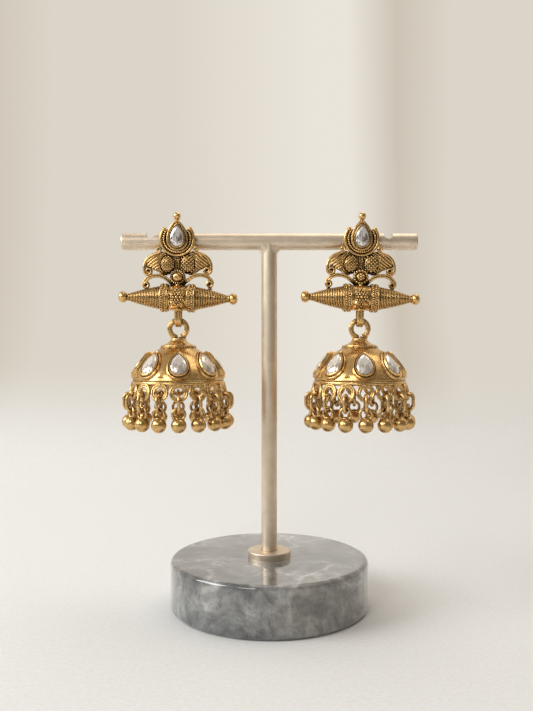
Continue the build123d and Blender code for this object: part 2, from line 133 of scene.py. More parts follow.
def smooth_line(points, steps):
    """A smooth line through points, Catmull-Rom."""
    points = [Vector(p) for p in points]
    ends = [2 * points[0] - points[1]] + points + [2 * points[-1] - points[-2]]
    line = []
    for i in range(len(points) - 1):
        a, b, c, d = ends[i : i + 4]
        for k in range(steps):
            t = k / steps
            straight = 2 * b + (c - a) * t
            square = (2 * a - 5 * b + 4 * c - d) * t * t
            cube = (3 * b - a - 3 * c + d) * t**3
            line.append(0.5 * (straight + square + cube))
    return line + [points[-1]]


def smooth_profile(pairs, steps):
    return [(p.x, p.z) for p in smooth_line([(r, 0, z) for r, z in pairs], steps)]


def even(path, spacing, closed=False):
    """The path cut again into even steps about as long as spacing."""
    path = [Vector(p) for p in path]
    if closed:
        path.append(path[0])
    lengths = [0.0]
    for a, b in zip(path, path[1:]):
        lengths.append(lengths[-1] + (b - a).length)
    count = max(2, round(lengths[-1] / spacing))
    points, i = [], 0
    for k in range(count if closed else count + 1):
        want = lengths[-1] * k / count
        while i < len(path) - 2 and lengths[i + 1] < want:
            i += 1
        span = lengths[i + 1] - lengths[i]
        points.append(path[i].lerp(path[i + 1], (want - lengths[i]) / span if span else 0))
    return points


def headings(path, closed=False):
    """The direction of a path at each of its points."""
    found = []
    for i, p in enumerate(path):
        ahead = path[(i + 1) % len(path)] if closed or i < len(path) - 1 else p
        behind = path[i - 1] if closed or i else p
        found.append((ahead - behind).normalized())
    return found


def beside(path, offset):
    """The path moved sideways within the plane of the earring's face."""
    pairs = zip(path, headings(path))
    return [(p.x - along.z * offset, p.y, p.z + along.x * offset) for p, along in pairs]


def handed(points, hand):
    """Points drawn for the right half, kept there (1) or mirrored to the left half (-1)."""
    return [(hand * x, y, z) for x, y, z in points]


def tube(shape, path, radius, normal, sides, closed=False, place=None):
    """A round wire along a path near a plane with this normal; its radius may be a function of 0 to 1."""
    path = [Vector(p) for p in path]
    normal = Vector(normal)
    rows = []
    for i, (p, along) in enumerate(zip(path, headings(path, closed))):
        side = along.cross(normal).normalized()
        up = side.cross(along)
        r = radius(i / (len(path) - 1)) if callable(radius) else radius
        rows.append([p + side * (r * x) + up * (r * y) for x, y in circle(sides)])
    shape.grid(rows, closed, place)


ROPE_STEPS = 8  # points along one twist of a rope
STRAND_SHARE = 0.56  # a strand's radius, as a share of its rope's


def rope(shape, path, radius, normal, pitch):
    """Two wires twisted together along a path."""
    path = even(path, pitch / ROPE_STEPS)
    turns = max(1, round(len(path) / ROPE_STEPS))
    normal = Vector(normal)
    for strand in range(2):
        line = []
        for i, (p, along) in enumerate(zip(path, headings(path))):
            side = along.cross(normal).normalized()
            a = tau * (turns * i / len(path) + strand / 2)
            line.append(p + side * (radius * 0.5 * cos(a)) + normal * (radius * 0.5 * sin(a)))
        tube(shape, line, radius * STRAND_SHARE, normal, 7)


def ball(shape, at, radius, rings, sides, scale=(1, 1, 1), turn=None, place=None):
    """A ball or, by scale and turn, a seed, feather or petal."""
    at = Vector(at)
    points = []
    for i in range(1, rings):
        a = pi * i / rings
        points += [Vector((sin(a) * x, sin(a) * y, cos(a))) for x, y in circle(sides)]
    points += [Vector((0, 0, 1)), Vector((0, 0, -1))]
    top, bottom = len(points) - 2, len(points) - 1
    faces = []
    for i in range(rings - 2):
        for k in range(sides):
            j = (k + 1) % sides
            faces.append([i * sides + k, i * sides + j, (i + 1) * sides + j, (i + 1) * sides + k])
    for k in range(sides):
        j = (k + 1) % sides
        faces.append([top, j, k])
        faces.append([bottom, (rings - 2) * sides + k, (rings - 2) * sides + j])
    turn = turn or Matrix.Identity(3)
    size = [radius * share for share in scale]
    shaped = [at + turn @ Vector((p.x * size[0], p.y * size[1], p.z * size[2])) for p in points]
    shape.add(shaped, faces, place)


def granules(shape, line, radius, spacing):
    """A row of solder balls along a line."""
    for p in even(line, spacing):
        ball(shape, p, radius, 6, 8)


def lathe(shape, profile, sides, axis="Z", at=(0, 0, 0)):
    """Turns (radius, height) pairs about an axis through a point."""
    at = Vector(at)
    rows = []
    for r, h in profile:
        ring = [(r * x, r * y) for x, y in circle(sides)]
        if axis == "Z":
            row = [(x, y, h) for x, y in ring]
        elif axis == "X":
            row = [(h, x, y) for x, y in ring]
        else:
            row = [(x, h, y) for x, y in ring]
        rows.append([at + Vector(p) for p in row])
    shape.grid(rows)


def pear(width, height, steps):
    """A pear outline in (across, up), point up, about its own middle."""
    low = width / 2
    high = height - low
    lift = (low - high) / 2
    side = (high**2 - low**2) / (2 * low)
    turn = atan2(high, side)
    third = steps // 3
    bottom = steps - 2 * third
    right = []
    for i in range(third + 1):
        a = turn * i / third
        right.append((-side + (low + side) * cos(a), lift + (low + side) * sin(a)))
    under = []
    for i in range(1, bottom):
        a = -pi + pi * i / bottom
        under.append((low * cos(a), lift + low * sin(a)))
    left = [(-x, y) for x, y in reversed(right[:-1])]
    return right + left + under


PEAR_GROWTH = 2.6  # how much higher a collet's outline gets for each millimetre outward


def pear_ring(shape, place, width, height, section, steps):
    """A ring along a pear outline, its section given as (outward from the outline, up) pairs."""
    rows = []
    for out, up in section:
        outline = pear(width + 2 * out, height + PEAR_GROWTH * out, steps)
        rows.append([(x, y, up) for x, y in outline])
    shape.grid(rows, closed_rows=True, place=place)


def slab(shape, outline, back, face, bevel=0.15):
    """A plate between two depths with its outline in (across, up) and a softened front edge."""
    count = len(outline)
    cx = sum(x for x, _ in outline) / count
    cz = sum(z for _, z in outline) / count
    inset = []
    for i, (x, z) in enumerate(outline):
        ax, az = outline[i - 1]
        bx, bz = outline[(i + 1) % count]
        dx, dz = bx - ax, bz - az
        size = hypot(dx, dz) or 1
        nx, nz = dz / size, -dx / size
        if nx * (x - cx) + nz * (z - cz) < 0:
            nx, nz = -nx, -nz
        inset.append((x - nx * bevel, z - nz * bevel))
    partly = [(0.7 * a[0] + 0.3 * b[0], 0.7 * a[1] + 0.3 * b[1]) for a, b in zip(inset, outline)]
    rows = [
        [(x, back, z) for x, z in outline],
        [(x, face + bevel, z) for x, z in outline],
        [(x, face + bevel * 0.3, z) for x, z in partly],
        [(x, face, z) for x, z in inset],
    ]
    shape.grid(rows)


def disc(x, z, radius, steps):
    """A round outline in (across, up)."""
    return [(x + radius * a, z + radius * b) for a, b in circle(steps)]


def front(x, y, z):
    """A place whose own x is right, y up and z out of the earring's face."""
    return Matrix(((1, 0, 0, x), (0, 0, -1, y), (0, 1, 0, z), (0, 0, 0, 1)))


# -------- finishes
class Paint:
    """The node tree of a material or the world, with short ways to add to it."""

    def __init__(self, tree):
        self.nodes = tree.nodes
        self.links = tree.links

    def give(self, node, values):
        """Sets inputs, each to a value that is the same all over or to another node's output."""
        for key, value in values.items():
            if isinstance(value, bpy.types.NodeSocket):
                self.links.new(value, node.inputs[key])
            else:
                node.inputs[key].default_value = value

    def node(self, kind, values, **settings):
        """Adds a node, and gives its outputs."""
        node = self.nodes.new("ShaderNode" + kind)
        for name, setting in settings.items():
            setattr(node, name, setting)
        self.give(node, values)
        return node.outputs

    def coordinates(self, output="Object"):
        return self.node("TexCoord", {})[output]

    def mapping(self, coords, scale, turn=(0, 0, 0)):
        """Coordinates, turned and stretched."""
        return self.node("Mapping", {"Vector": coords, "Rotation": turn, "Scale": scale})["Vector"]

    def noise(self, coords, scale, detail, rough=0.55, output="Fac"):
        values = {"Vector": coords, "Scale": scale, "Detail": detail, "Roughness": rough}
        return self.node("TexNoise", values)[output]

    def ramp(self, value, *stops):
        """Colours blended by a value, each stop given as (value, colour or grey)."""
        node = self.nodes.new("ShaderNodeValToRGB")
        elements = node.color_ramp.elements
        while len(elements) < len(stops):
            elements.new(0.5)
        for element, (at, colour) in zip(elements, stops):
            element.position = at
            element.color = (*(grey(colour) if isinstance(colour, float) else colour), 1.0)
        self.give(node, {"Fac": value})
        return node.outputs["Color"]

    def mix(self, factor, a, b, mode="MIX"):
        """Two colours mixed, each given as a colour or another node's output."""
        a, b = [(*colour, 1.0) if isinstance(colour, tuple) else colour for colour in (a, b)]
        values = {"Factor": factor, "A": a, "B": b}
        return self.node("Mix", values, data_type="RGBA", blend_type=mode)["Result"]

    def times(self, a, b):
        return self.mix(1.0, a, b, "MULTIPLY")

    def maths(self, operation, *values):
        return self.node("Math", dict(enumerate(values)), operation=operation)[0]

    def spread(self, value, low, high, to_low=0.0, to_high=1.0, kind="LINEAR"):
        """Maps low to high onto another range, cut off at its ends."""
        values = {"Value": value, "From Min": low, "From Max": high, "To Min": to_low, "To Max": to_high}
        return self.node("MapRange", values, interpolation_type=kind)["Result"]

    def occlusion(self, reach, own_piece):
        """How open a place is, 0 to 1, as seen from within this reach."""
        return self.node("AmbientOcclusion", {"Distance": reach * MM}, samples=8, only_local=own_piece)["AO"]

    def bump(self, shader, height, strength, distance):
        values = {"Height": height, "Strength": strength, "Distance": distance * MM}
        self.give(shader, {"Normal": self.node("Bump", values)["Normal"]})


def new_material(name):
    material = bpy.data.materials.new(name)
    material.use_nodes = True
    return material, Paint(material.node_tree), material.node_tree.nodes["Principled BSDF"]


def grey(value):
    return (value, value, value)


GOLD = (0.84, 0.535, 0.215)
BEAD_GOLD = (0.76, 0.48, 0.19)
PATINA = (0.07, 0.04, 0.016)
# painted shade: within this reach, other pieces darken the gold's colour, standing in for the shade where
# parts close round it
PAINTED_SHADE_REACH = 7.0  # how far other pieces still darken the gold
CHAMPAGNE = ((0.72, 0.6, 0.46), (0.82, 0.705, 0.565))
MARBLE_CLOUDS = (
    (0.3, (0.06, 0.063, 0.066)),
    (0.45, (0.138, 0.141, 0.143)),
    (0.58, (0.24, 0.24, 0.236)),
    (0.75, (0.47, 0.47, 0.458)),
)
MARBLE_WARP = (0.022, 0.022, 0.022)
MARBLE_WARM = (0.33, 0.29, 0.235)
MARBLE_VEIN = (0.6, 0.585, 0.56)


def antique_gold(name, bright, crevice_reach):
    """Worn gold plate: dark patina in the hollows, warm and brighter on the rubbed high places, with painted
    shade where other pieces close round it.
    """
    material, paint, shader = new_material(name)
    coords = paint.coordinates()
    tone = paint.noise(coords, scale=420, detail=5)
    plate = paint.ramp(tone, (0.3, [c * 0.84 for c in bright]), (0.7, bright))
    pits = paint.noise(coords, scale=1900, detail=3, rough=0.6)
    plate = paint.times(plate, paint.ramp(pits, (0.34, 0.66), (0.5, 1.0)))
    crevice = paint.occlusion(crevice_reach, own_piece=True)
    depth = paint.ramp(crevice, (0.2, 0.0), (0.5, 0.45), (0.8, 1.0))
    # painted shade: the colour darkens where other pieces stand near, as inside the bell and behind the
    # fringe
    painted_shade_mask = paint.occlusion(PAINTED_SHADE_REACH, own_piece=False)
    painted_shade = paint.ramp(painted_shade_mask, (0.1, 0.1), (0.42, 0.4), (0.72, 1.0))
    rubbed = paint.ramp(pits, (0.3, 0.36), (0.7, 0.22))
    colour = paint.times(paint.mix(depth, PATINA, plate), painted_shade)
    worn = paint.mix(depth, grey(0.6), rubbed)
    paint.give(shader, {"Base Color": colour, "Roughness": worn, "Metallic": 1.0})
    paint.bump(shader, pits, 0.16, 0.05)
    return material


def satin_champagne():
    """Satin pale-gold metal with a fine grain."""
    material, paint, shader = new_material("satin_champagne_metal")
    coords = paint.coordinates()
    tone = paint.ramp(paint.noise(coords, scale=260, detail=5), (0.35, CHAMPAGNE[0]), (0.7, CHAMPAGNE[1]))
    grain = paint.noise(coords, scale=2600, detail=2)
    rough = paint.ramp(grain, (0.3, 0.42), (0.7, 0.54))
    paint.give(shader, {"Base Color": tone, "Roughness": rough, "Metallic": 1.0})
    paint.bump(shader, grain, 0.25, 0.02)
    return material


def grey_marble():
    """Polished grey marble: drawn-out clouds, warm stains, a net of faint veins, mottle and flecks."""
    material, paint, shader = new_material("grey_marble_polished")
    coords = paint.coordinates()
    warp = paint.noise(coords, scale=38, detail=6, rough=0.5, output="Color")
    bent = paint.node("VectorMath", {0: warp, 1: MARBLE_WARP, 2: coords}, operation="MULTIPLY_ADD")["Vector"]
    drawn_out = paint.mapping(bent, (0.55, 1.0, 1.0), (0, radians(20), radians(-25)))
    cloud = paint.ramp(paint.noise(drawn_out, scale=105, detail=9, rough=0.66), *MARBLE_CLOUDS)
    stain = paint.ramp(paint.noise(coords, scale=26, detail=4), (0.52, 0.0), (0.72, 0.55))
    net = paint.node("TexVoronoi", {"Vector": bent, "Scale": 42}, feature="DISTANCE_TO_EDGE")["Distance"]
    veins = paint.ramp(net, (0.0, 1.0), (0.028, 0.35), (0.07, 0.0))
    faint = paint.ramp(paint.noise(coords, scale=55, detail=3), (0.45, 0.0), (0.65, 0.65))
    veined = paint.mix(paint.times(veins, faint), paint.mix(stain, cloud, MARBLE_WARM), MARBLE_VEIN)
    spots = paint.noise(bent, scale=260, detail=6, rough=0.7)
    mottled = paint.times(veined, paint.ramp(spots, (0.36, 0.6), (0.5, 1.0), (0.66, 1.45)))
    specks = paint.noise(coords, scale=480, detail=3, rough=0.7)
    flecked = paint.times(mottled, paint.ramp(specks, (0.28, 0.5), (0.42, 1.0)))
    rough = paint.ramp(paint.noise(coords, scale=300, detail=4), (0.3, 0.12), (0.7, 0.22))
    paint.give(shader, {"Base Color": flecked, "Roughness": rough, "Specular IOR Level": 0.5})
    paint.give(shader, {"Coat Weight": 1.0, "Coat Roughness": 0.03})
    return material


def cut_crystal(name, light, dark, streaks):
    """A polished stone backed by foil: pale, with darker streaks running up from its foot."""
    material, paint, shader = new_material(name)
    own = paint.coordinates("Generated")
    tone = paint.noise(paint.mapping(own, (1.0, 1.0, 0.22)), scale=7.5, detail=3)
    streaked = paint.ramp(tone, (0.42, dark), (0.55, light))
    height = paint.node("SeparateXYZ", {"Vector": own})["Z"]
    where = paint.ramp(height, (0.05, 0.0), (0.2, streaks), (0.5, streaks), (0.66, 0.12))
    rough = paint.ramp(tone, (0.3, 0.1), (0.7, 0.22))
    colour = paint.mix(where, light, streaked)
    paint.give(shader, {"Base Color": colour, "Roughness": rough, "Metallic": 0.45})
    paint.give(shader, {"Coat Weight": 1.0, "Coat Roughness": 0.02, "Coat IOR": 1.6})
    return material


gold = antique_gold("antique_gold_plate", GOLD, 0.55)
bead_gold = antique_gold("antique_gold_beads", BEAD_GOLD, 0.8)
champagne = satin_champagne()
marble = grey_marble()
clear_stone = cut_crystal("crystal_clear", (0.93, 0.885, 0.835), (0.2, 0.16, 0.13), 1.0)
pearly_stone = cut_crystal("crystal_foiled", (0.9, 0.83, 0.75), (0.46, 0.4, 0.34), 0.8)

# -------- the CAD's own nodes that keep their shape
plain = {"marble_base": marble, "base_collar": champagne, "t_bar": champagne}
plain.update({side + "_ear_post": gold for side in SIDES})
for node, finish in plain.items():
    for material_slot in frame["nodes"][node].material_slots:
        material_slot.material = finish

# -------- the earring's top
# Depths are behind the earring's axis, so a smaller one is nearer to the front.  Each kind of plate
# has a back of its own, because back faces in one plane would shade each other black.
FACE = 0.5
BACK = {"crescent": 1.5, "disc": 1.48, "curl": 1.46, "neck": 1.44, "bird": 1.42, "waist": 1.4}
BACK["setting"] = 1.38
FRONTWARD = (0, -1, 0)
SIDEWARD = (1, 0, 0)
SKEW = {"left": 1.9, "right": 0.0}  # how far each spindle is soldered on out of square
TOP_STONE_W, TOP_STONE_H = 4.5, 6.6

CRESCENT_Z = 23.95
CRESCENT_CUT = 26.3  # the plate's straight upper edge, between the horns
CRESCENT_ARC = (143, 254)  # where its wires start, and how far they turn
BREAST_AT = (2.95, 16.55)
BREAST_R = (2.1, 1.25, 2.6)
TAIL_CURL = (8.68, 14.6)
TAIL_R = 0.46
SCROLL_FOOT = (9.4, 10.55)
ROSETTE_Z = 12.65

SPINDLE_Z = 6.55
DRUM_R = 3.75
BAND_R = 3.9
BAND_GRANULES = 35
CONE_START, CONE_END = 5.0, 15.05
CONE_R, CONE_TIP_R = 3.42, 0.82
CONE_BULGE = 0.2
RIBS = 21
RIB_STEPS = 6
RIB_HEIGHT = 0.34
RIB_SINK = 0.2
ROUND = 72  # sides of the spindle's turned parts
LOOP_GAP = 0.15
RING_WIRE_R = 0.78


def crescent(shape):
    """The crescent: its plate, a plain outer wire, a beaded inner one, and horns that end in balls."""
    z = CRESCENT_Z
    start, turn = CRESCENT_ARC
    plate = [(x, min(up, CRESCENT_CUT)) for x, up in disc(0, z, 5.0, 60)]
    slab(shape, plate, BACK["crescent"], FACE + 0.15)
    tube(shape, arc((0, 0.05, z), 4.85, start, turn, 90), 0.42, FRONTWARD, 10)
    middle = arc((0, 0.05, z), 3.95, start - 3, turn + 6, 120)
    tube(shape, middle, 0.34, FRONTWARD, 8)
    granules(shape, [(p[0], p[1] - 0.2, p[2]) for p in middle], 0.36, 0.62)
    for hand in (-1, 1):
        ball(shape, (hand * 3.8, -0.05, 26.8), 0.66, 8, 14)
        ball(shape, (hand * 3.0, 0.15, 26.5), 0.36, 6, 10)


def stone_setting(shape, stone_z, width, height):
    """The pear collet of the crescent: bezel lip, milgrain, a plain teardrop wire, and a finial on top."""
    place = front(0, FACE, stone_z)
    lip = [(0.02, 0.0), (0.02, 1.75), (0.1, 1.85), (0.2, 1.82), (0.27, 1.6), (0.3, 0.0)]
    band = [(0.3, 0.0), (0.3, 1.15), (0.75, 1.0), (0.95, 0.6), (0.95, 0.0)]
    pear_ring(shape, place, width, height, lip, 60)
    pear_ring(shape, place, width, height, band, 60)
    # the outlines outside the lip grow faster towards their point, which lifts their middle
    grow, lift = 3.1, 0.28
    outline = [(x, y + lift * 0.5) for x, y in pear(width + 2 * 0.52, height + grow * 0.5, 72)]
    for p in even([(x, 0, y) for x, y in outline], 0.4, True):
        ball(shape, (p.x, FACE - 1.12, stone_z + p.z), 0.2, 5, 8)
    wire = [(x, y + lift) for x, y in pear(width + 2 * 0.78, height + grow * 0.74, 84)]
    tube(shape, [(x, FACE - 0.75, stone_z + y) for x, y in wire], 0.25, FRONTWARD, 10, True)
    plate = [(x, y + lift) for x, y in pear(width + 2 * 0.75, height + grow * 0.74, 60)]
    slab(shape, [(x, stone_z + y) for x, y in plate], BACK["setting"], FACE - 0.5, 0.05)
    finial = [(0.01, 28.3), (0.95, 28.5), (0.98, 29.0), (0.72, 29.35)]
    finial += [(0.62, 29.6), (0.78, 29.8), (0.01, 29.95)]
    lathe(shape, finial, 20, "Z", (0, 0.3, 0))
    ball(shape, (0, 0.25, 30.7), 1.13, 12, 22)


def small_curl(shape, x, z, turn):
    """A bud of rolled wire on the shoulder."""
    slab(shape, disc(x, z, 0.72, 20), BACK["curl"], FACE, 0.05)
    tube(shape, arc((x, 0.1, z), 0.52, turn, 330, 20), 0.3, FRONTWARD, 8)
    ball(shape, (x, 0.15, z), 0.24, 6, 9)


def studs(shape, at, radii, size, rows):
    """Studs in staggered rows over an oval cushion; rows is how many of their steps its height takes."""
    cx, cy, cz = at
    rx, ry, rz = radii
    step = 2 * rz / rows
    for row in range(-int(rows) - 1, int(rows) + 2):
        dz = row * step * 0.5
        if abs(dz) > rz * 0.95:
            continue
        wide = rx * sqrt(max(0.0, 1 - (dz / rz) ** 2))
        count = int(wide / step) + 1
        for k in range(-count, count + 1):
            dx = (k + 0.5 * (row % 2)) * step
            r2 = (dx / rx) ** 2 + (dz / rz) ** 2
            if r2 > 0.95:
                continue
            dy = -ry * sqrt(1 - r2)
            out = Vector((dx / rx**2, dy / ry**2, dz / rz**2)).normalized()
            turn = out.to_track_quat("Z", "Y").to_matrix()
            ball(shape, (cx + dx, cy + dy, cz + dz), size, 6, 8, (1.0, 1.0, 1.25), turn)


LEAF_STEPS = 12


def leaf(shape, at, length, width, angle, depth, under=None):
    """A pointed petal lying on the plate: a ridge and two sloping sides."""
    rows = []
    for i in range(LEAF_STEPS + 1):
        t = i / LEAF_STEPS
        half = width / 2 * sin(pi * t) ** 0.75
        x = (t - 0.5) * length
        low = depth * 0.1
        ridge = low + depth * sin(pi * t) ** 0.5
        section = [(half, 0), (half * 0.9, low), (0, ridge), (-half * 0.9, low), (-half, 0), (0, -0.1)]
        rows.append([(x, y, z) for y, z in section])
    place = front(*at) @ Matrix.Rotation(radians(angle), 4, "Z")
    shape.grid(rows, place=under @ place if under else place)


def bird_plate(shape, hand, pierced):
    """The bird's body plate, cut in where a slit parts the wing from the tail."""
    # (across, up), from the neck over the back, and then back under the wing and the breast
    back = [(2.4, 19.7), (4.4, 20.4), (5.9, 20.05)]
    under = [(9.2, 15.7), (8.0, 15.6), (7.2, 15.05), (6.2, 14.6)]
    under += [(5.2, 13.85), (4.4, 13.45), (3.2, 13.3), (2.4, 14.2)]
    if pierced:
        back += [(6.3, 19.3), (7.5, 17.9), (8.6, 16.5)]
    else:
        back += [(7.9, 19.3), (9.3, 17.9), (9.9, 16.2)]
    slab(shape, [(hand * x, z) for x, z in back + under], BACK["bird"], FACE + 0.1, 0.05)


def bird_breast(shape, hand, fine):
    """An oval cushion covered in studs, with two rope feathers round its outer side."""
    x, z = BREAST_AT
    rx, _, rz = BREAST_R
    ball(shape, (hand * x, FACE, z), 1.0, 14, 36, BREAST_R)
    size, rows = (0.27, 6.2) if fine else (0.35, 4.9)
    studs(shape, (hand * x, FACE, z), BREAST_R, size, rows)
    for grow, thick in ((0.42, 0.26), (0.98, 0.24)):
        curve = []
        for k in range(19):
            a = radians(78 - 140 * k / 18)
            curve.append((hand * (x + (rx + grow) * cos(a)), FACE - 0.2, z + (rz + grow) * sin(a)))
        rope(shape, curve, thick, FRONTWARD, 0.7)


def bird_tail(shape, hand, pierced):
    """The outer band of the tail, which ends in a spiral over a closed disc."""

    def line_at(points, depth):
        return smooth_line([(hand * x, depth, z) for x, z in points], 8)

    def taper(share):
        return TAIL_R if share < 0.5 else TAIL_R - 0.24 * (share - 0.5) / 0.5

    x, z = TAIL_CURL
    band = [(4.9, 20.3), (6.1, 19.8), (7.9, 19.05), (9.2, 17.8), (9.8, 16.3), (9.85, 15.0)]
    path = line_at(band, FACE - 0.2)
    for i in range(56):
        t = i / 55
        a = radians(15 - 500 * t)
        r = 1.16 - 0.78 * t
        path.append(Vector((hand * (x + r * cos(a)), FACE - 0.2 - 0.25 * t, z + r * sin(a))))
    tube(shape, path, taper, FRONTWARD, 10)
    slab(shape, disc(hand * x, z, 1.2, 32), BACK["disc"], FACE + 0.35, 0.05)
    if not pierced:
        inner = [(5.6, 19.45), (7.5, 18.55), (8.7, 17.4), (9.15, 16.1)]
        tube(shape, line_at(inner, FACE - 0.1), 0.15, FRONTWARD, 7)


def bird_wing(shape, hand, pierced):
    """The wing's raised ground, its feathers fanned towards the tail's end, and leaves under the breast."""
    if pierced:
        ground = [(4.8, 19.9), (6.0, 19.0), (7.3, 17.6), (8.4, 16.3), (8.3, 15.7)]
    else:
        ground = [(4.8, 19.9), (6.2, 19.4), (7.9, 18.4), (9.0, 17.0), (9.1, 15.9), (7.9, 15.6)]
    ground += [(6.6, 14.9), (5.0, 14.4)]
    slab(shape, [(hand * x, z) for x, z in ground], FACE + 0.2, FACE - 0.2, 0.1)
    # each feather: from (across, up) to (across, up), width
    feathers = [
        (5.0, 19.35, 9.2, 15.95, 1.0),
        (4.9, 18.35, 8.5, 15.5, 0.95),
        (4.8, 17.3, 7.8, 15.1, 0.9),
        (4.8, 16.35, 7.0, 14.8, 0.8),
        (6.0, 19.6, 9.5, 16.7, 0.85),
    ]
    for x0, z0, x1, z1, width in feathers:
        turn = Matrix.Rotation(-atan2(z1 - z0, hand * (x1 - x0)), 3, "Y")
        half = hypot(x1 - x0, z1 - z0) / 2
        middle = (hand * (x0 + x1) / 2, FACE - 0.15, (z0 + z1) / 2)
        ball(shape, middle, 1.0, 8, 16, (half, 0.5, width / 2), turn)
    # each leaf: across, up, length, width, angle
    for x, z, length, width, angle in (
        (4.75, 14.1, 1.9, 0.85, 24),
        (3.6, 13.75, 1.7, 0.8, 2),
        (2.5, 13.9, 1.4, 0.7, -28),
    ):
        leaf(shape, (hand * x, FACE - 0.1, z), length, width, hand * angle, 0.6)


def bird(shape, hand, fine, pierced):
    """One peacock in profile, its breast to the middle, with a folded wing and a tail curling under."""
    bird_plate(shape, hand, pierced)
    bird_breast(shape, hand, fine)
    bird_tail(shape, hand, pierced)
    bird_wing(shape, hand, pierced)
    small_curl(shape, hand * 5.45, 21.0, 200)


def s_scroll(shape, hand):
    """The scroll that carries the plate on the spindle's cone: a grooved strip ending in a rolled foot."""
    y = FACE - 0.2
    points = [(1.5, 10.9), (2.6, 11.6), (3.9, 12.6), (5.4, 13.15), (7.0, 13.2), (8.5, 12.75)]
    points += [(9.6, 11.8), (10.15, 10.7)]
    centre = smooth_line([(x, y, z) for x, z in points], 7)
    tube(shape, [(hand * p.x, p.y + 0.5, p.z) for p in centre], 0.56, FRONTWARD, 8)
    for offset in (0.3, -0.28):
        tube(shape, handed(beside(centre, offset), hand), 0.27, FRONTWARD, 8)
    x, z = SCROLL_FOOT
    slab(shape, disc(hand * x, z, 1.0, 28), BACK["disc"], FACE + 0.3, 0.05)
    tube(shape, handed(arc((x, y - 0.05, z), 0.74, 10, 360, 28), hand), 0.42, FRONTWARD, 9, True)
    ball(shape, (hand * x, y + 0.45, 9.25), 0.6, 6, 10, (1, 1, 1.1))


def rosette(shape, side):
    """The flower: round studs on the right earring, petals round a dome on the left one."""
    z = ROSETTE_Z
    slab(shape, disc(0, z, 2.25, 40), BACK["disc"], FACE - 0.55)
    if side == "right":
        for x, up in circle(14):
            ball(shape, (1.85 * x, FACE - 0.95, z + 1.85 * up), 0.46, 7, 11)
        ball(shape, (0, FACE - 0.75, z), 1.45, 10, 20, (1, 0.8, 1))
        for x, up in circle(6, 0.5):
            ball(shape, (0.75 * x, FACE - 1.6, z + 0.75 * up), 0.42, 7, 10)
        ball(shape, (0, FACE - 1.85, z), 0.36, 7, 10)
    else:
        petals = 20
        for i, (x, up) in enumerate(circle(petals)):
            turn = Matrix.Rotation(-(tau * i / petals), 3, "Y")
            ball(shape, (1.86 * x, FACE - 0.8, z + 1.86 * up), 1.0, 6, 10, (0.52, 0.42, 0.26), turn)
        dome = [(0.01, -0.5), (1.5, -0.5), (1.5, -0.95), (1.32, -1.4)]
        dome += [(0.9, -1.72), (0.5, -1.8), (0.34, -1.6), (0.01, -1.45)]
        lathe(shape, [(r, FACE + y) for r, y in dome], 32, "Y", (0, 0, z))
    # bead and leaves between the rosette and the drum
    ball(shape, (0, FACE - 1.3, 10.1), 0.66, 8, 12)
    for hand in (-1, 1):
        leaf(shape, (hand * 1.05, FACE - 1.2, 9.95), 1.8, 0.85, hand * -28, 0.6)
        leaf(shape, (hand * 1.95, FACE - 0.6, 10.75), 2.2, 0.85, hand * 32, 0.6)


def cone_profile(hand):
    """One ribbed cone of the spindle, as (radius, distance from the middle) pairs."""
    profile = [(0.01, hand * 4.7), (3.3, hand * 4.7)]
    for i in range(RIBS):
        a, b = i / RIBS, (i + 1) / RIBS
        for k in range(RIB_STEPS):
            t = a + (b - a) * k / RIB_STEPS
            base = CONE_R + (CONE_TIP_R - CONE_R) * t + CONE_BULGE * sin(pi * t)
            radius = base + RIB_HEIGHT * sin(pi * k / RIB_STEPS) ** 0.55 - RIB_SINK
            profile.append((radius, hand * (CONE_START + (CONE_END - CONE_START) * t)))
    return profile + [(0.72, hand * CONE_END), (0.01, hand * (CONE_END + 0.1))]


def tip_profile(hand):
    """The rounded tip of a cone, in the same way."""
    profile = [(0.01, hand * 14.85)]
    for k in range(15):
        a = pi * k / 14
        profile.append((0.1 + 1.6 * sin(a) ** 0.85, hand * (16.2 - 1.3 * cos(a))))
    return profile + [(0.01, hand * 17.5)]


def spindle(shape):
    """The barrel: ribbed cones, double granulated bands, and a granulated lozenge on its drum."""
    z = SPINDLE_Z
    at = (0, 0, z)
    drum = [(0.01, -3.0), (3.62, -3.0), (3.72, -2.6), (3.72, 2.6), (3.62, 3.0), (0.01, 3.0)]
    collar = [(0.01, 14.5), (1.05, 14.6), (1.15, 14.85), (0.95, 15.05), (0.01, 15.1)]
    band = [(0.01, 2.9), (3.8, 2.9), (3.88, 3.1), (3.88, 4.75), (3.8, 4.98), (0.01, 4.98)]
    lathe(shape, drum, ROUND, "X", at)
    for hand in (-1, 1):
        lathe(shape, cone_profile(hand), ROUND, "X", at)
        lathe(shape, tip_profile(hand), 36, "X", at)
        lathe(shape, [(r, hand * x) for r, x in collar], 30, "X", at)
        lathe(shape, [(r, hand * x) for r, x in band], ROUND, "X", at)
        # the band's wires: distance from the middle, bend radius, wire radius
        for x, bend, thick in ((2.98, 3.92, 0.2), (3.93, 3.9, 0.15), (4.88, 3.92, 0.2)):
            wire = [(hand * x, bend * a, z + bend * b) for a, b in circle(ROUND)]
            tube(shape, wire, thick, SIDEWARD, 8, True)
        for x, phase in ((3.46, 0.0), (4.4, 0.5)):
            for a, b in circle(BAND_GRANULES, phase):
                ball(shape, (hand * x, BAND_R * a, z + BAND_R * b), 0.36, 6, 9)
    drum_relief(shape, z)


